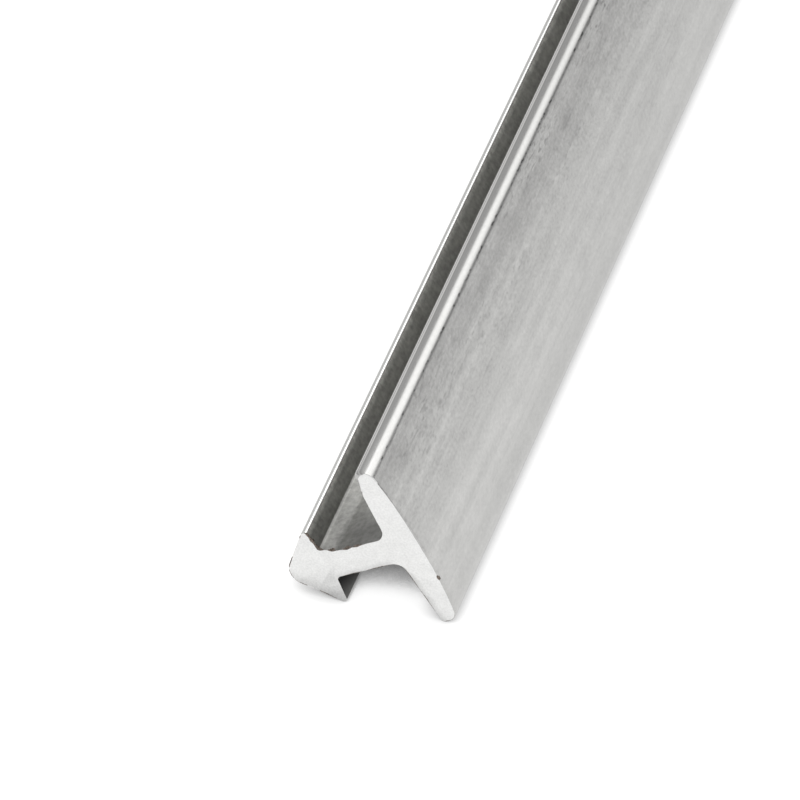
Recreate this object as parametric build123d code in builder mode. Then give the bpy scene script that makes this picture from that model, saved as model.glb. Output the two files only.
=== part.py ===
"""Joint profile of T section: one straight length of extruded bar.

The flange is the face that shows. The web goes down into the joint, and its arrow-shaped
foot grips there with a barb on each side. The bar lies as it does on a level floor: on one
edge of the flange and on the barb of that side, with its length along Y.
"""

from build123d import *

import math
import os

# Overall sizes, in millimetres
stock_length = 1000.0
profile_height = 8.0  # from the crown of the flange to the nose of the foot

# Flange, slightly crowned and thinner towards its rounded edges
flange_width = 10.0
flange_crown = 0.4
flange_edge_thickness = 1.0
flange_root_thickness = 1.7
outer_edge_radius = 0.65
inner_edge_radius = 0.25

# Web
web_thickness = 1.65
web_root_radius = 0.6

# Arrow-shaped foot
foot_span = 4.7  # across both barbs
foot_point_angle = 90.0
nose_radius = 1.0
barb_land = 0.3  # flat at the tip of a barb, before the foot tapers
barb_hook = 0.2  # how far the back of a barb leans from the web to its tip
barb_tip_radius = 0.18
barb_root_radius = 0.2  # in the corner between a barb and the web

# Shoulder on one side of the web: a slope that starts on the back of the barb
shoulder_height = 0.32  # above the web, at the barb
shoulder_length = 0.9  # along the web, from the barb to where the slope ends
shoulder_root_radius = 0.1  # in the corner between the slope and the barb
shoulder_foot_radius = 0.4  # where the slope runs out into the web

# Places on the section, as depths below the crown of the flange
half_point = math.radians(foot_point_angle / 2)
point_depth = profile_height + nose_radius * (1 / math.sin(half_point) - 1)
land_end_depth = point_depth - foot_span / 2 / math.tan(half_point)
barb_tip_depth = land_end_depth - barb_land
barb_root_depth = barb_tip_depth - barb_hook

# Corners of one half of the section: x across the flange, y up, crown at the origin
crown_top = Vector(0, 0)
outer_edge = Vector(flange_width / 2, -flange_crown)
inner_edge = Vector(flange_width / 2, -flange_crown - flange_edge_thickness)
web_top = Vector(web_thickness / 2, -flange_root_thickness)
web_bottom = Vector(web_thickness / 2, -barb_root_depth)
barb_tip = Vector(foot_span / 2, -barb_tip_depth)
land_end = Vector(foot_span / 2, -land_end_depth)
foot_point = Vector(0, -point_depth)

# Corners of the shoulder, which stands on the web's other side
barb_slope = barb_hook / (foot_span / 2 - web_thickness / 2)
shoulder_foot = Vector(-web_thickness / 2, shoulder_length - barb_root_depth)
shoulder_root = Vector(
    -web_thickness / 2 - shoulder_height,
    -barb_root_depth - barb_slope * shoulder_height,
)
web_inside = Vector(-web_thickness / 2, -barb_tip_depth)


def corner_at(vertices, corner):
    """The vertices that stand at this corner of the half section."""
    return [v for v in vertices if (Vector(v.X, v.Y) - corner).length < 1e-6]


def arc_center(before, corner, after, radius):
    """Centre of the arc of this radius that rounds a corner between its two neighbours."""
    back = (before - corner).normalized()
    ahead = (after - corner).normalized()
    half_angle = math.radians(back.get_angle(ahead)) / 2
    return corner + (back + ahead).normalized() * (radius / math.sin(half_angle))


def resting_tilt():
    """Turn in degrees that brings the flange's edge and the barb's tip level.

    Both are round, so the floor is the line that touches the two arcs from outside.
    """
    edge_center = arc_center(outer_edge, inner_edge, web_top, inner_edge_radius)
    tip_center = arc_center(barb_tip, land_end, foot_point, barb_tip_radius)
    span = edge_center - tip_center
    slope = math.degrees(math.atan2(span.Y, span.X))
    return slope - math.degrees(math.asin((inner_edge_radius - barb_tip_radius) / span.length))


# Section, drawn upright
with BuildSketch() as section:
    with BuildLine() as half_outline:
        TangentArc(crown_top, outer_edge, tangent=(1, 0))
        Polyline(outer_edge, inner_edge, web_top, web_bottom, barb_tip, land_end, foot_point)
        Line(foot_point, crown_top)
    make_face()
    fillet(corner_at(section.vertices(), outer_edge), outer_edge_radius)
    fillet(corner_at(section.vertices(), inner_edge), inner_edge_radius)
    fillet(corner_at(section.vertices(), web_top), web_root_radius)
    fillet(corner_at(section.vertices(), barb_tip), barb_tip_radius)
    fillet(corner_at(section.vertices(), land_end), barb_tip_radius)
    mirror(about=Plane.YZ)
    fillet(corner_at(section.vertices(), foot_point), nose_radius)
    fillet(corner_at(section.vertices(), web_bottom), barb_root_radius)
    with BuildLine() as shoulder_outline:
        Polyline(shoulder_foot, shoulder_root, web_inside, close=True)
    make_face()
    fillet(corner_at(section.vertices(), shoulder_foot), shoulder_foot_radius)
    fillet(corner_at(section.vertices(), shoulder_root), shoulder_root_radius)

# Plane that lays the section on the floor, with the bar's box centred over the origin
tilt = resting_tilt()
laid = section.sketch.rotate(Axis.Z, -tilt).bounding_box()
x_axis = Vector(1, 0, 0).rotate(Axis.Y, tilt)
resting_plane = Plane(
    origin=(-laid.center().X, 0, -laid.min.Y),
    x_dir=x_axis,
    z_dir=(0, -1, 0),
)

with BuildPart() as profile:
    with BuildSketch(resting_plane):
        add(section.sketch)
    extrude(amount=stock_length / 2, both=True)
profile.part.label = "profile"

os.makedirs("parts", exist_ok=True)
export_step(profile.part, "parts/profile.step")
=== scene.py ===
"""Looks of the joint profile: mill-finished extruded bar with sawn ends, lying on a pale floor."""

import math

import bpy
import numpy as np
from mathutils import Matrix, Vector


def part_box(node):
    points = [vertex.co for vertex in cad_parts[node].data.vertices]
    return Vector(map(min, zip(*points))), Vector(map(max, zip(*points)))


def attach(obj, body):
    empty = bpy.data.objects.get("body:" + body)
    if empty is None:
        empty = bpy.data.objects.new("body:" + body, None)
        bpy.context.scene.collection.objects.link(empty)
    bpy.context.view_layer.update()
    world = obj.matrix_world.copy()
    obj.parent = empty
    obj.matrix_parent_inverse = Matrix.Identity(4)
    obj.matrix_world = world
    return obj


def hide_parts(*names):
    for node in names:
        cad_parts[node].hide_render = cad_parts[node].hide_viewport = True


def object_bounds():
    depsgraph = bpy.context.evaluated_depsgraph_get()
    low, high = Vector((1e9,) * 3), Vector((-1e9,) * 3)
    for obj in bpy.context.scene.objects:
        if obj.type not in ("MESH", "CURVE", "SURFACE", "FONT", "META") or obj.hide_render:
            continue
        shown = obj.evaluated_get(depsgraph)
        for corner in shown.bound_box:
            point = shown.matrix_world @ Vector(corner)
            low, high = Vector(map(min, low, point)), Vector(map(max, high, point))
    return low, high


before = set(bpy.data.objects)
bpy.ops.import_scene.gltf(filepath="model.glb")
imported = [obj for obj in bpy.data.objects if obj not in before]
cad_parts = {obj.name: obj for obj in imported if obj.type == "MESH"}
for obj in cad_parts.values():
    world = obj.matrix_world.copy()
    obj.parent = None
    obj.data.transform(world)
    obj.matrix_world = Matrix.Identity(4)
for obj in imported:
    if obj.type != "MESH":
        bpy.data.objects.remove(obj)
cad_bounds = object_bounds()

MM = 0.001

# Section of the bar, in millimetres: x across the flange, y up, crown of the flange at the origin
PROFILE_HEIGHT = 8.0
FLANGE_WIDTH = 10.0
FLANGE_CROWN = 0.4
FLANGE_EDGE_THICKNESS = 1.0
FLANGE_ROOT_THICKNESS = 1.7
OUTER_EDGE_RADIUS = 0.65
INNER_EDGE_RADIUS = 0.25
WEB_THICKNESS = 1.65
WEB_ROOT_RADIUS = 0.6
FOOT_SPAN = 4.7
NOSE_RADIUS = 1.0
BARB_LAND = 0.3
BARB_HOOK = 0.2
BARB_TIP_RADIUS = 0.18
BARB_ROOT_RADIUS = 0.2
SHOULDER_HEIGHT = 0.32
SHOULDER_LENGTH = 0.9
SHOULDER_ROOT_RADIUS = 0.1
SHOULDER_FOOT_RADIUS = 0.4

# Mesh of the bar
CROWN_POINTS = 41  # along the flange's face
CROWN_MARGIN = 0.75  # of the face left to the rounding of each edge, mm
OUTLINE_STEP = 0.09  # longest step between points of the section, mm
ARC_STEP = 7.0  # degrees from point to point on a rounded corner
LEAST_ARC_STEPS = 3
CREASE_ANGLE = 32.0  # edges sharper than this stay sharp, degrees
DIE_LINE_DEPTH = 0.0022  # mm
LEAST_INSET = 0.0005  # keeps the skin inside the profile's own outline, mm
RING_STEP = 20.0  # between sections away from the ends, mm
END_RINGS = [0.0, 0.04, 0.1, 0.18, 0.3, 0.5, 1.0, 2.2, 5.0, 10.0]  # from each end, mm
ROUNDING = 1e-6  # allowed in the bar's length, mm
RNG_SEED = 11

# Lie of the bar on the floor: a first guess, and how many times it is worked out anew
FIRST_TURN = 60.0  # degrees
TURN_ROUNDS = 20

# Inside of the channels, between flange and barbs, in mm
CHANNEL_TOP = -1.35
CHANNEL_BOTTOM = -5.75
CHANNEL_MARGIN = 0.35  # from each edge of the flange, where its underside still has the skin

# Edge of the sawn end: how far it is broken where the saw left it clean, and where it was rough
CLEAN_BREAK = 0.025  # mm
ROUGH_BREAK = 0.11  # mm
BRIGHT_TIP = -4.2  # left of this the broken edge is as bright as the cut, mm
# Bands of the edge that pass these levels take the residue, whose dark grey is in places painted
# shade
RESIDUE_LEVELS = [0.24, 0.45, 0.68]  # least roughness for residue on each band from the end
EDGE_WAVES = [7, 19, 43, 83]  # waves of roughness around the whole edge
EDGE_SCATTER = 0.25  # of roughness from point to point, either way
EDGE_ROUGHNESS = 0.22  # most that waves and scatter make together
SPOT_FALLOFF = 0.7  # below 1, a rough spot stays strong for most of its reach
SPOT_LEAST = 0.75  # least share of its strength that a rough spot has at a point
# Rough spots as (x, y) on the section, reach in mm, and strength
ROUGH_SPOTS = [
    ((2.25, -0.08), 0.2, 0.7),
    ((-2.15, -5.77), 0.25, 0.8),
    ((-1.75, -5.7), 0.35, 1.0),
    ((-1.25, -5.62), 0.35, 1.0),
    ((-0.95, -4.95), 0.25, 0.9),
    ((-0.82, -4.1), 0.35, 0.9),
    ((-0.82, -3.5), 0.35, 0.7),
    ((-2.1, -6.3), 0.4, 0.34),
    ((-0.75, -7.65), 0.8, 0.42),
    ((0.0, -8.0), 0.7, 0.42),
    ((0.7, -7.7), 0.8, 0.45),
    ((1.75, -6.65), 0.9, 0.45),
    ((5.0, -1.1), 0.5, 0.35),
    ((0.9, -4.6), 1.0, 0.5),
    ((0.9, -3.0), 1.0, 0.55),
    ((1.9, -1.8), 1.1, 0.6),
    ((3.4, -1.55), 1.2, 0.5),
]
# Worn places as (x, y) on the section, reach in mm, and shift of the edge there as (x, y) in mm
WORN_PLACES = [
    ((-5.0, -1.4), 1.4, (0.3, 0.42)),
    ((4.0, -0.3), 3.6, (-0.01, -0.07)),
    ((0.0, 0.0), 3.6, (0.0, -0.07)),
    ((1.4, -7.2), 1.4, (-0.06, 0.06)),
]
WORN_DEPTH = 0.3  # how far along the bar a worn place reaches, mm
WORN_ROUND = 1.6  # above 1, sides that face that shift at a slant give way in full too
FILED = 0.08  # what is worn by more than this carries no residue, mm

# Material slots of the bar
SKIN, SAWN, CHANNEL, RESIDUE_AND_EDGE_SHADE = range(4)

# Attribute with each vertex's place in mm: across the flange, up the web, and from the near end
PLACE = "place"


def corners():
    """Corners of the section as (x, y, rounding radius), clockwise from the left of the crown."""
    half_web, half_foot = WEB_THICKNESS / 2, FOOT_SPAN / 2
    point = PROFILE_HEIGHT + NOSE_RADIUS * (math.sqrt(2) - 1)
    land_end = point - half_foot
    tip = land_end - BARB_LAND
    root = tip - BARB_HOOK
    edge = FLANGE_WIDTH / 2
    flat_end = edge - CROWN_MARGIN
    crown_radius = (edge**2 + FLANGE_CROWN**2) / (2 * FLANGE_CROWN)
    right = [
        (edge, -FLANGE_CROWN, OUTER_EDGE_RADIUS),
        (edge, -FLANGE_CROWN - FLANGE_EDGE_THICKNESS, INNER_EDGE_RADIUS),
        (half_web, -FLANGE_ROOT_THICKNESS, WEB_ROOT_RADIUS),
        (half_web, -root, BARB_ROOT_RADIUS),
        (half_foot, -tip, BARB_TIP_RADIUS),
        (half_foot, -land_end, BARB_TIP_RADIUS),
    ]
    shoulder = half_web + SHOULDER_HEIGHT
    hook = BARB_HOOK * SHOULDER_HEIGHT / (half_foot - half_web)
    left = [
        (-half_foot, -land_end, BARB_TIP_RADIUS),
        (-half_foot, -tip, BARB_TIP_RADIUS),
        (-shoulder, -root - hook, SHOULDER_ROOT_RADIUS),
        (-half_web, SHOULDER_LENGTH - root, SHOULDER_FOOT_RADIUS),
        (-half_web, -FLANGE_ROOT_THICKNESS, WEB_ROOT_RADIUS),
        (-edge, -FLANGE_CROWN - FLANGE_EDGE_THICKNESS, INNER_EDGE_RADIUS),
        (-edge, -FLANGE_CROWN, OUTER_EDGE_RADIUS),
    ]
    crown = []
    for x in np.linspace(-flat_end, flat_end, CROWN_POINTS):
        crown.append((x, math.sqrt(crown_radius**2 - x**2) - crown_radius, 0.0))
    return crown + right + [(0.0, -point, NOSE_RADIUS)] + left


def rounded(corner, before, after, radius):
    """Points of the arc that rounds a corner, between the corners before and after it."""
    back, ahead = (before - corner).normalized(), (after - corner).normalized()
    half = back.angle(ahead) / 2
    centre = corner + (back + ahead).normalized() * (radius / math.sin(half))
    start = corner + back * (radius / math.tan(half)) - centre
    end = corner + ahead * (radius / math.tan(half)) - centre
    turn = math.copysign(math.pi - 2 * half, start.cross(end))
    steps = max(LEAST_ARC_STEPS, round(abs(math.degrees(turn)) / ARC_STEP))
    return [centre + Matrix.Rotation(turn * k / steps, 2) @ start for k in range(steps + 1)]


def outline():
    """Points around the section, with its corners rounded and its straight runs divided."""
    bends = [(Vector((x, y)), radius) for x, y, radius in corners()]
    points = []
    for i, (corner, radius) in enumerate(bends):
        before, after = bends[i - 1][0], bends[(i + 1) % len(bends)][0]
        points += rounded(corner, before, after, radius) if radius else [corner]
    divided = []
    for a, b in zip(points, points[1:] + points[:1]):
        parts = max(1, math.ceil((b - a).length / OUTLINE_STEP))
        divided += [a.lerp(b, k / parts) for k in range(parts)]
    return np.array(divided)


def outward_normals(section):
    """Unit normals of the section's points, pointing out of the metal."""
    ahead = np.roll(section, -1, axis=0) - np.roll(section, 1, axis=0)
    normals = np.column_stack([-ahead[:, 1], ahead[:, 0]])
    return normals / np.linalg.norm(normals, axis=1)[:, None]


def resting_turn(section):
    """Angle from the section's x axis to the floor it lies on: flange edge and barb, right side."""
    right = section[section[:, 0] > 0]
    flange = right[right[:, 1] > -FLANGE_ROOT_THICKNESS]
    barb = right[right[:, 1] < -PROFILE_HEIGHT / 2]
    angle = FIRST_TURN
    for _ in range(TURN_ROUNDS):
        down = np.array([math.sin(math.radians(angle)), -math.cos(math.radians(angle))])
        a = flange[np.argmax(flange @ down)]
        b = barb[np.argmax(barb @ down)]
        angle = math.degrees(math.atan2(a[1] - b[1], a[0] - b[0]))
    return angle


def turned(points, turn):
    """Points of the section turned by an angle in radians, as the bar lies."""
    x_axis = np.array([math.cos(turn), -math.sin(turn)])
    y_axis = np.array([math.sin(turn), math.cos(turn)])
    return points[:, :1] * x_axis + points[:, 1:] * y_axis


def ring_stations(length):
    """Distances of the mesh's sections from one end, in mm, closer together near both ends."""
    middle = list(np.arange(RING_STEP, length - RING_STEP + ROUNDING, RING_STEP))
    return END_RINGS + middle + [length - d for d in reversed(END_RINGS)]


def drawn_skin(section, normals, rng):
    """The section with the fine lines that the die left, all of them into the metal."""
    lines = rng.normal(0.0, DIE_LINE_DEPTH, len(section))
    lines = 0.5 * lines + 0.25 * (np.roll(lines, 1) + np.roll(lines, -1))
    return section - normals * (np.abs(lines) + LEAST_INSET)[:, None]


def saw_roughness(section, rng, spots):
    """How rough the saw left each point of an end's edge, from 0 to 1."""
    count = len(section)
    rough = np.zeros(count)
    for waves in EDGE_WAVES:
        phase = rng.uniform(0, 2 * math.pi)
        around = 2 * math.pi * waves * np.arange(count) / count
        rough += np.sin(around + phase) / len(EDGE_WAVES)
    scatter = rng.uniform(-EDGE_SCATTER, EDGE_SCATTER, count)
    rough = EDGE_ROUGHNESS * np.clip(rough + scatter, 0, 1)
    for spot, reach, strength in spots:
        away = np.linalg.norm(section - spot, axis=1)
        near = np.clip(1 - away / reach, 0, 1) ** SPOT_FALLOFF
        rough = np.maximum(rough, strength * near * rng.uniform(SPOT_LEAST, 1.0, count))
    return rough


def broken_edge(section, normals, rough):
    """The section at the cut itself, where the saw broke its edge."""
    return section - normals * (CLEAN_BREAK + ROUGH_BREAK * rough)[:, None]


def wear(section, normals):
    """How the near end's edge is worn at each point, as (x, y) in mm, always into the metal."""
    gone = np.zeros_like(section)
    for spot, reach, shift in WORN_PLACES:
        away = np.linalg.norm(section - spot, axis=1)
        near = np.clip(1 - away / reach, 0, 1)
        inwards = np.clip(-WORN_ROUND * (normals @ shift) / np.linalg.norm(shift), 0, 1)
        gone += (near**2 * (3 - 2 * near) * inwards)[:, None] * shift
    return gone


def worn_share(station):
    """Share of the wear at a distance from the near end, on a quarter round."""
    if station >= WORN_DEPTH:
        return 0.0
    return 1 - math.sqrt(1 - (1 - station / WORN_DEPTH) ** 2)


def in_channel(section):
    """Which points lie inside the two channels, between flange and barbs."""
    x, y = np.abs(section[:, 0]), section[:, 1]
    return (x < FLANGE_WIDTH / 2 - CHANNEL_MARGIN) & (y < CHANNEL_TOP) & (y > CHANNEL_BOTTOM)


def tube_faces(count, rings):
    """Quads between each ring of points and the next, then one face over each end."""
    faces = []
    for band in range(rings - 1):
        near, far = band * count, (band + 1) * count
        for i in range(count):
            j = (i + 1) % count
            faces.append((near + i, near + j, far + j, far + i))
    last = (rings - 1) * count
    return faces + [tuple(reversed(range(count))), tuple(range(last, last + count))]


def tube_slots(section, stations, near_rough, far_rough, filed):
    """Material slot of each of the tube's faces, in the same order."""
    slots = []
    bands = len(stations) - 1
    for band in range(bands):
        around = np.where(in_channel(section), CHANNEL, SKIN)
        for from_end, rough in ((band, near_rough), (bands - 1 - band, far_rough)):
            if from_end < len(RESIDUE_LEVELS):
                around[rough > RESIDUE_LEVELS[from_end]] = RESIDUE_AND_EDGE_SHADE
        if stations[band] < WORN_DEPTH:
            around[filed] = SKIN
        if band == 0:
            around[filed | (section[:, 0] < BRIGHT_TIP)] = SAWN
        slots += around.tolist()
    return slots + [SAWN, SAWN]


def bar_mesh():
    """The whole bar as one closed mesh, with a material slot for each of its finishes."""
    rng = np.random.default_rng(RNG_SEED)
    section = outline()
    normals = outward_normals(section)
    skin = drawn_skin(section, normals, rng)
    near_rough = saw_roughness(section, rng, ROUGH_SPOTS)
    far_rough = saw_roughness(section, rng, [])
    worn = wear(section, normals)
    filed = np.linalg.norm(worn, axis=1) > FILED

    turn = math.radians(resting_turn(section))
    laid = turned(section, turn)
    shift = np.array([-(laid[:, 0].min() + laid[:, 0].max()) / 2, -laid[:, 1].min()])

    low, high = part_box("profile")
    stations = ring_stations((high[1] - low[1]) / MM)
    rings = [skin] * len(stations)
    rings[0] = broken_edge(section, normals, near_rough)
    rings[-1] = broken_edge(section, normals, far_rough)
    verts, places = [], []
    for station, ring in zip(stations, rings):
        flat = turned(ring + worn * worn_share(station), turn) + shift
        verts += [(x * MM, low[1] + station * MM, z * MM) for x, z in flat]
        places += [(x, y, station) for x, y in section]

    mesh = bpy.data.meshes.new("bar")
    mesh.from_pydata(verts, [], tube_faces(len(section), len(stations)))
    slots = tube_slots(section, stations, near_rough, far_rough, filed)
    mesh.polygons.foreach_set("material_index", slots)
    mesh.polygons.foreach_set("use_smooth", [slot != SAWN for slot in slots])
    attribute = mesh.attributes.new(PLACE, "FLOAT_VECTOR", "POINT")
    attribute.data.foreach_set("vector", np.array(places, dtype=np.float32).ravel())
    mesh.update()
    return mesh


def node(tree, kind, **settings):
    """A shader node with its settings and, as a dict under 'inputs', its unlinked values."""
    made = tree.nodes.new(kind)
    for name, value in settings.pop("inputs", {}).items():
        made.inputs[name].default_value = value
    for name, value in settings.items():
        setattr(made, name, value)
    return made


def place(tree):
    """The surface's place in mm: across the flange, up the web, and from the near end."""
    return node(tree, "ShaderNodeAttribute", attribute_name=PLACE).outputs["Vector"]


def parts_of(tree, vector):
    """The three numbers of a vector."""
    split = node(tree, "ShaderNodeSeparateXYZ")
    tree.links.new(vector, split.inputs[0])
    return split.outputs


def noise(tree, across, along, detail, roughness=0.5):
    """Noise with its own scale across and along the bar, in cycles per mm."""
    mapping = node(tree, "ShaderNodeMapping", inputs={"Scale": (across, across, along)})
    made = node(
        tree,
        "ShaderNodeTexNoise",
        inputs={"Scale": 1.0, "Detail": detail, "Roughness": roughness},
    )
    tree.links.new(place(tree), mapping.inputs["Vector"])
    tree.links.new(mapping.outputs["Vector"], made.inputs["Vector"])
    return made.outputs["Fac"]


def ranged(tree, value, span, result):
    """value mapped from one pair of numbers to another, clamped. Either pair may run down."""
    names = ("From Min", "From Max", "To Min", "To Max")
    mapped = node(tree, "ShaderNodeMapRange", inputs=dict(zip(names, span + result)))
    tree.links.new(value, mapped.inputs["Value"])
    return mapped.outputs["Result"]


def rises(tree, value, span):
    """0 to 1 over a span of the value."""
    return ranged(tree, value, span, (0.0, 1.0))


def falls(tree, value, span):
    """1 to 0 over a span of the value."""
    return ranged(tree, value, span, (1.0, 0.0))


def swing(tree, value, spread, amount):
    """A noise, which lies around 0.5, turned into a change of up to this amount either way."""
    return ranged(tree, value, (0.5 - spread, 0.5 + spread), (-amount, amount))


def dark_spots(tree, kind, span, darkening):
    """Spots where a kind of noise passes a span of values, as what they take from the grey."""
    return ranged(tree, noise(tree, *kind), span, (0.0, -darkening))


def maths(tree, operation, a, b):
    """a and b, each a socket or a number, joined by one operation."""
    made = node(tree, "ShaderNodeMath", operation=operation)
    for socket, value in zip(made.inputs, (a, b)):
        if isinstance(value, (int, float)):
            socket.default_value = value
        else:
            tree.links.new(value, socket)
    return made.outputs[0]


def joined(tree, operation, terms):
    """All of the terms, each a socket or a number, joined by one operation from the left."""
    value = terms[0]
    for term in terms[1:]:
        value = maths(tree, operation, value, term)
    return value


def total(tree, *terms):
    """The sum of sockets and numbers."""
    return joined(tree, "ADD", terms)


def product(tree, *terms):
    """The product of sockets and numbers."""
    return joined(tree, "MULTIPLY", terms)


def largest(tree, *terms):
    """The largest of sockets and numbers."""
    return joined(tree, "MAXIMUM", terms)


def blended(tree, factor, a, b):
    """The socket a where the factor is 0, and the socket b where it is 1."""
    mix = node(tree, "ShaderNodeMix", data_type="FLOAT")
    tree.links.new(factor, mix.inputs["Factor"])
    tree.links.new(a, mix.inputs[2])
    tree.links.new(b, mix.inputs[3])
    return mix.outputs[0]


def tinted(tree, value, tint):
    """A grey of this value, multiplied by a tint."""
    mix = node(tree, "ShaderNodeMix", data_type="RGBA", blend_type="MULTIPLY")
    mix.inputs["Factor"].default_value = 1.0
    tree.links.new(value, mix.inputs[6])
    mix.inputs[7].default_value = (*tint, 1.0)
    return mix.outputs[2]


def bumped(tree, height, distance):
    """Normals of a relief, where a height of 1 stands for this distance in metres."""
    bump = node(tree, "ShaderNodeBump", inputs={"Strength": 1.0, "Distance": distance})
    tree.links.new(height, bump.inputs["Height"])
    return bump.outputs["Normal"]


def new_material(name):
    """A new material, with its node tree and its shader."""
    material = bpy.data.materials.new(name)
    material.use_nodes = True
    return material, material.node_tree, material.node_tree.nodes["Principled BSDF"]


# Places on the section that the materials go by, in mm
FLANGE_LEFT = -FLANGE_WIDTH / 2
LIP = -FLANGE_CROWN - OUTER_EDGE_RADIUS  # lower end of the flange's outer round
STRIP_EDGE = (FLANGE_LEFT + 0.34, FLANGE_LEFT + 0.4)  # where the strip on that round ends
BARB_BACK = (-5.5, -5.56)  # from the web's wall onto the backs of the barbs

# Values between which most of a noise lies
NOISE_SPAN = (0.3, 0.7)

# Skin, as it leaves the die
SKIN_GREY = 0.465
SKIN_TINT = (1.0, 0.995, 0.975)
SKIN_ROUGHNESS = 0.23
SKIN_RELIEF = 0.0000015  # m
RUBS_HEIGHT = 0.3  # of the relief, beside the draw lines
# Painted highlights: what each adds to the skin's grey
LIP_GAIN = 0.42
TIP_GAIN = 0.15
STRIP_GAIN = 0.035
FOOT_GAIN = 0.34
BORDER_GAIN = 0.13
# Noise of each kind of mark on the skin: cycles per mm across and along the bar, and detail
DRAW_LINES = (9.0, 0.025, 2)
BANDS = (1.3, 0.035, 2)
RUBS = (6.0, 4.0, 2)
CLOUDS = (0.9, 0.5, 2)
DASHES = (7.0, 1.6, 1)
BLOTCHES = (1.6, 0.45, 2)
SMUDGES = (2.3, 1.2, 2)
PATCHES = (0.2, 0.09, 1)
PITS = (6.0, 3.2, 1)


def above_lip(tree, up):
    """1 on the flange's face and its outer round, 0 from the lip down."""
    return rises(tree, up, (LIP + 0.05, LIP + 0.15))


def painted_lip_highlight(tree, across, up, along):
    """A painted highlight: a bright line where the flange's outer round ends, weaker by the cut."""
    outermost = rises(tree, across, (FLANGE_LEFT + 0.15, FLANGE_LEFT + 0.1))
    line_top = ranged(tree, up, (LIP + 0.02, LIP - 0.02), (0.0, LIP_GAIN))
    line_foot = falls(tree, up, (LIP - 0.08, LIP - 0.13))
    from_cut = ranged(tree, along, (0.0, 3.0), (0.4, 1.0))
    return product(tree, outermost, line_top, line_foot, from_cut)


def painted_tip_highlight(tree, across, up, along):
    """A painted highlight: the outermost stretch of the round, above that line, bright by the cut
    only.
    """
    outermost = rises(tree, across, (FLANGE_LEFT + 0.15, FLANGE_LEFT + 0.07))
    above_line = rises(tree, up, (LIP + 0.1, LIP + 0.23))
    by_cut = ranged(tree, along, (0.5, 5.0), (TIP_GAIN, 0.0))
    return product(tree, outermost, above_line, by_cut)


def painted_strip_highlight(tree, across, up):
    """A painted highlight: the strip of the flange's outer round, a little paler than the face."""
    strip = ranged(tree, across, STRIP_EDGE, (STRIP_GAIN, 0.0))
    return product(tree, strip, above_lip(tree, up))


def painted_foot_highlight_and_shade(tree, up):
    """Painted highlight and shade: the foot below the barbs' tips bright, and darker where the tips
    round off.
    """
    below_tips = ranged(tree, up, (-5.62, -5.76), (-0.2, FOOT_GAIN))
    return product(tree, below_tips, rises(tree, up, BARB_BACK))


def painted_border_highlight(tree, across, up, along):
    """A painted highlight: the face beside the strip, bright by the cut and fading along the bar.
    """
    start = rises(tree, across, STRIP_EDGE)
    end = falls(tree, across, (FLANGE_LEFT + 0.5, FLANGE_LEFT + 0.75))
    by_cut = ranged(tree, along, (1.0, 10.0), (BORDER_GAIN, 0.0))
    return product(tree, start, end, above_lip(tree, up), by_cut)


def edge_pits(tree, across, up):
    """Dark pits in a narrow line beside the strip."""
    start = rises(tree, across, (FLANGE_LEFT + 0.34, FLANGE_LEFT + 0.38))
    end = falls(tree, across, (FLANGE_LEFT + 0.43, FLANGE_LEFT + 0.47))
    pits = dark_spots(tree, PITS, span=(0.6, 0.64), darkening=0.35)
    return product(tree, pits, product(tree, start, end, above_lip(tree, up)))


def face_marks(tree, across, along, rubs):
    """Marks of the flange's face, as changes of its grey: bands, rubs and clouds all over, and
    dark dashes, blotches and smudges in patches of the upper side, weaker by the cut."""
    bands, clouds = noise(tree, *BANDS), noise(tree, *CLOUDS)
    upper_side = falls(tree, across, (-4.2, 0.5))
    in_patches = ranged(tree, noise(tree, *PATCHES), (0.4, 0.6), (1.5, 0.5))
    from_cut = ranged(tree, along, (2.0, 6.0), (0.35, 1.0))
    upper = product(tree, upper_side, in_patches, from_cut)
    in_bands = product(tree, upper, ranged(tree, bands, (0.4, 0.6), (0.3, 1.0)))
    middle = ranged(tree, across, (-1.5, 3.5), (1.0, 0.5))
    return total(
        tree,
        product(tree, swing(tree, bands, spread=0.15, amount=0.04), middle),
        product(tree, swing(tree, rubs, spread=0.25, amount=-0.045), middle),
        product(tree, swing(tree, clouds, spread=0.2, amount=0.03), middle),
        product(tree, dark_spots(tree, DASHES, span=(0.56, 0.7), darkening=0.12), in_bands),
        product(tree, dark_spots(tree, BLOTCHES, span=(0.56, 0.72), darkening=0.07), upper),
        product(tree, dark_spots(tree, SMUDGES, span=(0.6, 0.75), darkening=0.08), upper),
    )


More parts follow.
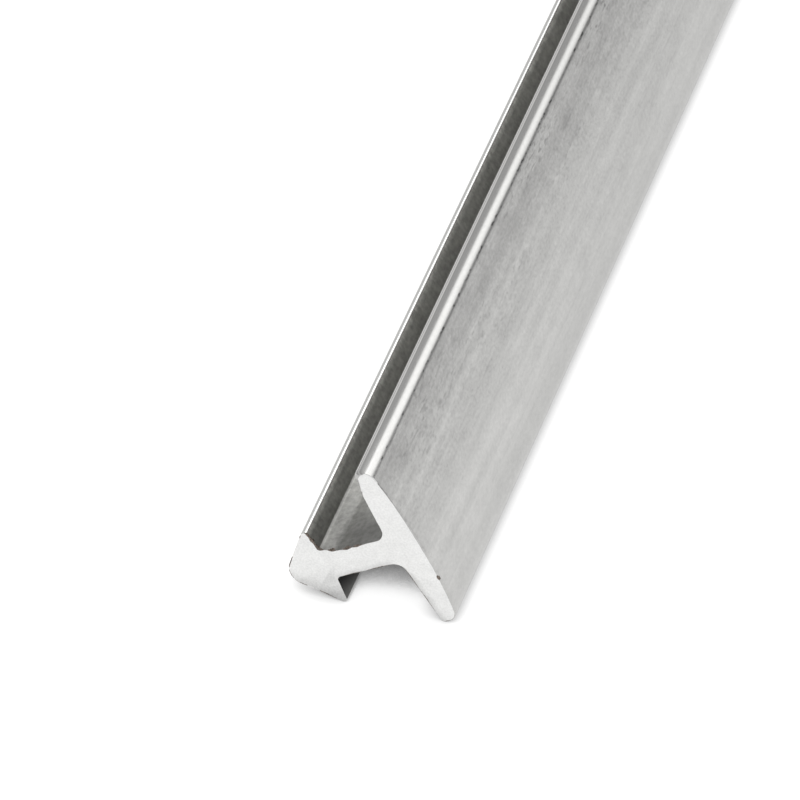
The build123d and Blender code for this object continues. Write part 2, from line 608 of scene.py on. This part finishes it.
def skin_material():
    """Extruded aluminium as it leaves the die: soft sheen, draw lines and fine rubs, with dark
    specks and blotches that gather towards the upper edge of the flange, painted highlights along
    the flange's outer round and the barbs' tips, and painted shade on the flange's upper side."""
    material, tree, shader = new_material("mill_aluminium")
    across, up, along = parts_of(tree, place(tree))
    draw_lines = noise(tree, *DRAW_LINES)
    rubs = noise(tree, *RUBS)
    beside_strip = rises(tree, across, (FLANGE_LEFT + 0.38, FLANGE_LEFT + 0.5))
    face = product(tree, above_lip(tree, up), beside_strip)
    # painted highlights on the flange's round and the barbs' tips, with painted shade where the
    # tips round off
    painted_highlights = total(
        tree,
        painted_lip_highlight(tree, across, up, along),
        painted_tip_highlight(tree, across, up, along),
        painted_strip_highlight(tree, across, up),
        painted_foot_highlight_and_shade(tree, up),
        painted_border_highlight(tree, across, up, along),
    )
    value = total(
        tree,
        product(tree, face_marks(tree, across, along, rubs), face),
        swing(tree, draw_lines, spread=0.2, amount=0.01),
        edge_pits(tree, across, up),
        painted_highlights,
        SKIN_GREY,
    )
    # painted shade: the flange's face darker towards its upper side
    upper_side = ranged(tree, across, (-1.8, 1.0), (0.93, 1.0))
    away = ranged(tree, along, (0.0, 40.0), (1.0, 0.91))
    value = product(tree, value, upper_side, away)
    tree.links.new(tinted(tree, value, SKIN_TINT), shader.inputs["Base Color"])
    roughness = total(tree, swing(tree, rubs, spread=0.25, amount=0.03), SKIN_ROUGHNESS)
    tree.links.new(roughness, shader.inputs["Roughness"])
    height = total(tree, draw_lines, product(tree, rubs, face, RUBS_HEIGHT))
    tree.links.new(bumped(tree, height, SKIN_RELIEF), shader.inputs["Normal"])
    shader.inputs["Metallic"].default_value = 1.0
    return material


# Inside of the channels: its grey, lower than the skin's, is painted shade of the channels
CHANNEL_GREY = 0.37
CHANNEL_TINT = (1.0, 0.995, 0.955)
CHANNEL_ROUGHNESS = (0.42, 0.52)
CHANNEL_RELIEF = 0.000004  # m
# Painted light and shade: what the web's walls gain or lose of that grey
PAINTED_LIGHT_GAIN = 0.13
ROOT_HIGHLIGHT_GAIN = 0.12
PAINTED_SHADE_LOSS = 0.13
# Noise: cycles per mm across and along the bar, detail, and roughness where it isn't the usual
CHANNEL_LINES = (7.0, 0.04, 2)
CHANNEL_GRAIN = (3.4, 3.8, 3, 0.6)
CHANNEL_MOTTLE = (1.3, 0.8, 3)


def barb_back_grey(tree, across):
    """Grey of a barb's back, painted light and shade: lighter towards its tip, darker at its root,
    and black in the lower channel's corner.
    """
    out = maths(tree, "ABSOLUTE", across, 0.0)
    slope = ranged(tree, out, (1.15, 1.7), (0.32, 0.42))
    tip = ranged(tree, out, (1.9, 2.3), (0.0, 0.5))
    corner = ranged(tree, out, (1.15, 0.85), (0.0, -0.22))
    upper = total(tree, slope, tip, corner)
    lower = ranged(tree, across, (1.0, 2.3), (0.005, 0.16))
    in_lower = rises(tree, across, (-0.1, 0.1))
    return blended(tree, in_lower, upper, lower)


def web_grey(tree, up, along, mottle):
    """Grey of the web's walls, painted light and shade: darker by the cut down to a ragged line,
    lighter low down further along, and with a painted highlight along the foot."""
    ragged_up = total(tree, up, swing(tree, mottle, spread=0.2, amount=0.35))
    above_ragged_line = rises(tree, ragged_up, (-5.1, -4.75))
    by_cut = falls(tree, along, (1.2, 3.2))
    at_foot = falls(tree, up, (-5.5, -5.42))
    from_cut = ranged(tree, along, (0.0, 0.6), (0.3, 1.0))
    further_along = ranged(tree, along, (2.5, 5.5), (0.0, PAINTED_LIGHT_GAIN))
    low_down = rises(tree, up, (-2.8, -3.4))
    return total(
        tree,
        CHANNEL_GREY,
        product(tree, further_along, low_down),
        product(tree, above_ragged_line, by_cut, -PAINTED_SHADE_LOSS),
        product(tree, at_foot, from_cut, ROOT_HIGHLIGHT_GAIN),
    )


def channel_material():
    """Inside of the channels: duller, with painted shade darkest in the barbs' corners and near the
    saw cut, and painted highlights on the barbs' backs and at the web's foot.
    """
    material, tree, shader = new_material("channel_aluminium")
    across, up, along = parts_of(tree, place(tree))
    draw_lines = noise(tree, *CHANNEL_LINES)
    grain = noise(tree, *CHANNEL_GRAIN)
    mottle = noise(tree, *CHANNEL_MOTTLE)
    wall = web_grey(tree, up, along, mottle)
    grey = blended(tree, rises(tree, up, BARB_BACK), wall, barb_back_grey(tree, across))
    speckle = total(
        tree,
        swing(tree, draw_lines, spread=0.2, amount=0.04),
        swing(tree, grain, spread=0.25, amount=0.28),
        swing(tree, mottle, spread=0.2, amount=0.1),
        1.0,
    )
    value = product(tree, grey, speckle)
    tree.links.new(tinted(tree, value, CHANNEL_TINT), shader.inputs["Base Color"])
    roughness = ranged(tree, grain, NOISE_SPAN, CHANNEL_ROUGHNESS)
    tree.links.new(roughness, shader.inputs["Roughness"])
    tree.links.new(bumped(tree, grain, CHANNEL_RELIEF), shader.inputs["Normal"])
    shader.inputs["Metallic"].default_value = 1.0
    return material


# Saw cut
SAWN_GREY = 0.79
SAWN_TINT = (1.0, 1.0, 0.99)
SAWN_ROUGHNESS = (0.45, 0.6)
SAWN_RELIEF = 0.000005  # m
# Noise: cycles per mm across and along the bar, and detail
SAWN_GRAIN = (8.5, 8.5, 2)
SAWN_BLOTCHES = (1.4, 1.4, 3)
SAWN_MARKS = (1.2, 1.2, 2)
# What the cut loses of that grey along its lower edges, and past the line of the blade
FLANK_LOSS = 0.13
FLANGE_LOSS = 0.14
WEB_LOSS = 0.12
BLADE_LOSS = 0.1
# Right underside of the flange, as y = FLANGE_SLOPE * x - FLANGE_DEPTH in mm
FLANGE_SLOPE = 0.072
FLANGE_DEPTH = 1.76
# Line of the blade across the foot: the (x, y) square to it, and where it lies along that, in mm
BLADE_NORMAL = (0.796, 0.606)
BLADE_LINE = (-3.3, -3.22)


def cut_shade(tree, across, up):
    """How much darker the saw cut is along its lower edges, and past a line that the blade
    left across the foot."""
    over_flank = maths(tree, "SUBTRACT", up, across)
    flank = ranged(tree, over_flank, (-8.4, -7.3), (-FLANK_LOSS, 0.0))
    over_underside = total(tree, up, product(tree, across, -FLANGE_SLOPE), FLANGE_DEPTH)
    flange = ranged(tree, over_underside, (0.05, 0.4), (-FLANGE_LOSS, 0.0))
    beside_web = rises(tree, across, (1.2, 1.8))
    web = ranged(tree, across, (0.8, 0.5), (-WEB_LOSS, 0.0))
    below_flange = rises(tree, up, (-1.9, -2.4))
    above_barb = rises(tree, up, (-5.6, -5.4))
    x_share, y_share = BLADE_NORMAL
    along_normal = total(tree, product(tree, across, x_share), product(tree, up, y_share))
    past_line = ranged(tree, along_normal, BLADE_LINE, (0.0, -BLADE_LOSS))
    on_foot = rises(tree, up, (-5.3, -5.8))
    return total(
        tree,
        maths(tree, "MINIMUM", flank, product(tree, past_line, on_foot)),
        product(tree, flange, beside_web),
        product(tree, web, below_flange, above_barb),
    )


def sawn_material():
    """Fine-toothed saw cut: brighter and duller than the skin, with faint marks of the blade."""
    material, tree, shader = new_material("sawn_aluminium")
    grain = noise(tree, *SAWN_GRAIN)
    blotches = noise(tree, *SAWN_BLOTCHES)
    marks = noise(tree, *SAWN_MARKS)
    across, up, _ = parts_of(tree, place(tree))
    value = total(
        tree,
        cut_shade(tree, across, up),
        swing(tree, grain, spread=0.2, amount=0.065),
        swing(tree, blotches, spread=0.2, amount=0.03),
        SAWN_GREY,
    )
    tree.links.new(tinted(tree, value, SAWN_TINT), shader.inputs["Base Color"])
    roughness = ranged(tree, grain, NOISE_SPAN, SAWN_ROUGHNESS)
    tree.links.new(roughness, shader.inputs["Roughness"])
    height = total(tree, grain, marks)
    tree.links.new(bumped(tree, height, SAWN_RELIEF), shader.inputs["Normal"])
    shader.inputs["Metallic"].default_value = 1.0
    return material


# Burr and residue, in places painted shade along the cut's edges, with its noise given as on the
# cut
RESIDUE_AND_SHADE_GREY = (0.06, 0.3)
RESIDUE_TINT = (1.0, 0.82, 0.7)
RESIDUE_ROUGHNESS = 0.6
RESIDUE_METALLIC = 0.6
RESIDUE_GRAIN = (9.0, 9.0, 2)


def residue_and_edge_shade_material():
    """Burr and saw oil left along the edge of a cut; in places its dark grey is painted shade along
    that edge.
    """
    material, tree, shader = new_material("saw_residue_and_edge_shade")
    value = ranged(tree, noise(tree, *RESIDUE_GRAIN), NOISE_SPAN, RESIDUE_AND_SHADE_GREY)
    tree.links.new(tinted(tree, value, RESIDUE_TINT), shader.inputs["Base Color"])
    shader.inputs["Roughness"].default_value = RESIDUE_ROUGHNESS
    shader.inputs["Metallic"].default_value = RESIDUE_METALLIC
    return material


def make_bar():
    """The bar itself, the only piece of the part."""
    bar = bpy.data.objects.new("bar", bar_mesh())
    bpy.context.collection.objects.link(bar)
    for material in (skin_material(), sawn_material(), channel_material(), residue_and_edge_shade_material()):
        bar.data.materials.append(material)
    bar.data.set_sharp_from_angle(angle=math.radians(CREASE_ANGLE))
    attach(bar, "root")
    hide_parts("profile")
    return bar


# Floor
FLOOR_HALF = 30.0  # from its middle to its edges, m
FLOOR_GREY = 0.3
FLOOR_ROUGHNESS = 0.9
FLOOR_LIFT = 0.92  # light of the floor itself, seen by the camera and in reflections
# Shadow under the arch: how near something dims that lift in m, the samples it takes, the
# openness at which the lift is gone and at which it is whole, and how steeply it falls between
SHADE_REACH = 0.005
SHADE_SAMPLES = 16
SHADE_OPENNESS = (0.11, 0.3)
SHADE_STEEPNESS = 2.5
# Soft shadow close around the bar, in the same way, and the share of the lift left at its darkest
CONTACT_REACH = 0.0015
CONTACT_SAMPLES = 8
CONTACT_OPENNESS = (0.3, 0.8)
CONTACT_SHARE = 0.45


def openness(tree, reach, samples):
    """How open the surface is to its surroundings within a reach in metres, from 0 to 1."""
    made = node(tree, "ShaderNodeAmbientOcclusion", samples=samples)
    made.inputs["Distance"].default_value = reach
    return made.outputs["AO"]


def floor_lift(tree):
    """Strength of the floor's own light: where it is seen or mirrored, less close to the bar."""
    rays = node(tree, "ShaderNodeLightPath").outputs
    seen = largest(
        tree,
        rays["Is Camera Ray"],
        rays["Is Glossy Ray"],
        rays["Is Transmission Ray"],
    )
    hidden = falls(tree, openness(tree, SHADE_REACH, SHADE_SAMPLES), SHADE_OPENNESS)
    shade = maths(tree, "POWER", hidden, SHADE_STEEPNESS)
    lift = ranged(tree, shade, (0.0, 1.0), (FLOOR_LIFT, 0.0))
    close_by = openness(tree, CONTACT_REACH, CONTACT_SAMPLES)
    share = ranged(tree, close_by, CONTACT_OPENNESS, (CONTACT_SHARE, 1.0))
    return product(tree, lift, share, seen)


def make_floor():
    """Pale floor, lifted to white where it is seen or mirrored, but not close under the bar."""
    half = FLOOR_HALF
    mesh = bpy.data.meshes.new("floor")
    mesh.from_pydata(
        [(-half, -half, 0), (half, -half, 0), (half, half, 0), (-half, half, 0)],
        [],
        [(0, 1, 2, 3)],
    )
    floor = bpy.data.objects.new("floor", mesh)
    bpy.context.collection.objects.link(floor)
    material, tree, shader = new_material("floor")
    shader.inputs["Base Color"].default_value = (FLOOR_GREY, FLOOR_GREY, FLOOR_GREY, 1.0)
    shader.inputs["Roughness"].default_value = FLOOR_ROUGHNESS
    shader.inputs["Specular IOR Level"].default_value = 0.0
    shader.inputs["Emission Color"].default_value = (1.0, 1.0, 1.0, 1.0)
    tree.links.new(floor_lift(tree), shader.inputs["Emission Strength"])
    mesh.materials.append(material)
    return floor


# Studio tent: light of each part, and its soft edge as a span of the direction's x, y or z
CEILING_LIGHT = 0.85
CEILING_EDGE = (0.5, 0.64)
CEILING_SLANT = 0.2  # how much lower it reaches to the right
PANEL_LIGHT = 2.35
PANEL_EDGE = (0.35, 0.6)
FRONT_LIGHT = 0.85
FRONT_EDGE = (-0.6, -0.1)
LEFT_LIGHT = 0.65
LEFT_EDGE = (-0.4, -0.1)
BACKDROP_LIGHT = 0.9
BACKDROP_TOP = (0.17, 0.3)
BACKDROP_SIDE = (-0.2, 0.3)
BACKDROP_SHARE = 0.3  # of its light that is left beyond that side
GAP_LIGHT = 0.25


def light_world():
    """Studio tent: soft ceiling, a brighter panel behind, a white card in front, a grey one to
    the left, a low backdrop to the right, and a dim gap below the ceiling."""
    world = bpy.data.worlds.new("studio")
    bpy.context.scene.world = world
    world.use_nodes = True
    tree = world.node_tree
    background = tree.nodes["Background"]
    x, y, z = parts_of(tree, node(tree, "ShaderNodeTexCoord").outputs["Generated"])
    slanted_z = total(tree, z, product(tree, x, CEILING_SLANT))
    above_gap = rises(tree, slanted_z, CEILING_EDGE)
    panel = ranged(tree, y, PANEL_EDGE, (CEILING_LIGHT, PANEL_LIGHT))
    ceiling = product(tree, above_gap, panel)
    front = ranged(tree, y, FRONT_EDGE, (FRONT_LIGHT, 0.0))
    low_down = ranged(tree, z, BACKDROP_TOP, (BACKDROP_LIGHT, 0.0))
    to_the_right = ranged(tree, x, BACKDROP_SIDE, (BACKDROP_SHARE, 1.0))
    backdrop = product(tree, low_down, to_the_right)
    left = ranged(tree, x, LEFT_EDGE, (LEFT_LIGHT, 0.0))
    level = largest(tree, ceiling, front, backdrop, left, GAP_LIGHT)
    tree.links.new(level, background.inputs["Strength"])
    background.inputs["Color"].default_value = (1.0, 1.0, 1.0, 1.0)


# Camera, as fitted to the photograph: angles in degrees, lens and sensor in mm, the rest in m
CAMERA_AZIMUTH = 17.113
CAMERA_ELEVATION = 39.955
CAMERA_ROLL = -0.292
CAMERA_DISTANCE = 0.45286
CAMERA_LENS = 383.18
CAMERA_SENSOR = 36.0
CAMERA_CLIP = (0.01, 100.0)
AIM_FROM_END = Vector((-0.003488, 0.016382, 0.0))  # floor point seen at the picture's centre


def make_camera():
    """The photograph's view, down onto the near end of the bar."""
    low, _ = cad_bounds
    aim = Vector((0.0, low[1], 0.0)) + AIM_FROM_END
    azimuth, elevation = math.radians(CAMERA_AZIMUTH), math.radians(CAMERA_ELEVATION)
    back = Vector((
        math.sin(azimuth) * math.cos(elevation),
        -math.cos(azimuth) * math.cos(elevation),
        math.sin(elevation),
    ))
    data = bpy.data.cameras.new("camera")
    data.lens = CAMERA_LENS
    data.sensor_width = CAMERA_SENSOR
    data.clip_start, data.clip_end = CAMERA_CLIP
    camera = bpy.data.objects.new("camera", data)
    bpy.context.collection.objects.link(camera)
    facing = back.to_track_quat("Z", "Y").to_matrix().to_4x4()
    roll = Matrix.Rotation(math.radians(CAMERA_ROLL), 4, "Z")
    camera.matrix_world = Matrix.Translation(aim + back * CAMERA_DISTANCE) @ facing @ roll
    bpy.context.scene.camera = camera


make_bar()
make_floor()
light_world()
make_camera()
bpy.context.scene.view_settings.view_transform = "Standard"
